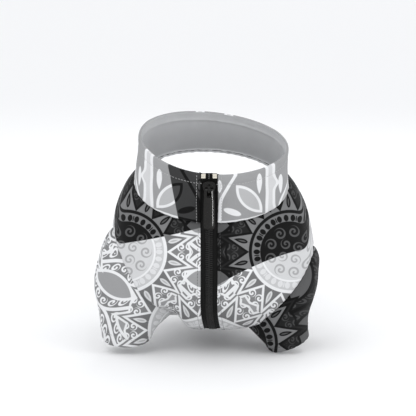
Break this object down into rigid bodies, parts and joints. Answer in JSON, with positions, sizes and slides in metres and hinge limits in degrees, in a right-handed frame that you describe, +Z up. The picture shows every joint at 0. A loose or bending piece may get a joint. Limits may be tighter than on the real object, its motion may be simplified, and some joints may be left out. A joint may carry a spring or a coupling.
{
  "type": "dog jacket",
  "caption": "Zip-front dog jacket with a stand collar, short sleeves and a patterned shell, in the shape it keeps when worn.",
  "frame": {"origin": "inner face of the back panel at the top of the neckline, on the middle line, where the jacket rests on the dog's withers", "axes": "+Z up, +Y towards the hem and tail, +X towards the dog's left; the chest and the zip face -Y"},
  "size_m": [0.2196, 0.3644, 0.2349],
  "materials": {
    "dark_print": "dark patterned woven polyester",
    "light_print": "light patterned woven polyester",
    "two_tone_print": "woven polyester, dark and light patterned blocks",
    "zip_tape": "black woven tape",
    "coil": "black nylon coil",
    "black_metal": "glossy black enamel",
    "bright_metal": "bright plated"
  },
  "bodies": {
    "jacket": {"back_panel": "dark_print", "collar": "light_print", "front_left": "two_tone_print", "front_right": "two_tone_print", "sleeve_left": "dark_print", "sleeve_right": "light_print", "zip_tape_left": "zip_tape", "zip_tape_right": "zip_tape", "zip_chain": "coil", "zip_slider": "black_metal", "zip_stop_left": "bright_metal", "zip_stop_right": "bright_metal", "zip_retainer": "black_metal"},
    "pull": {"zip_pull": "black_metal"}
  },
  "joints": [
    {"name": "pull_swing", "type": "hinge", "parent": "jacket", "child": "pull", "pos_m": [0, -0.11052, -0.02382], "axis": [-1, 0, 0], "range_deg": [-12, 150]}
  ]
}
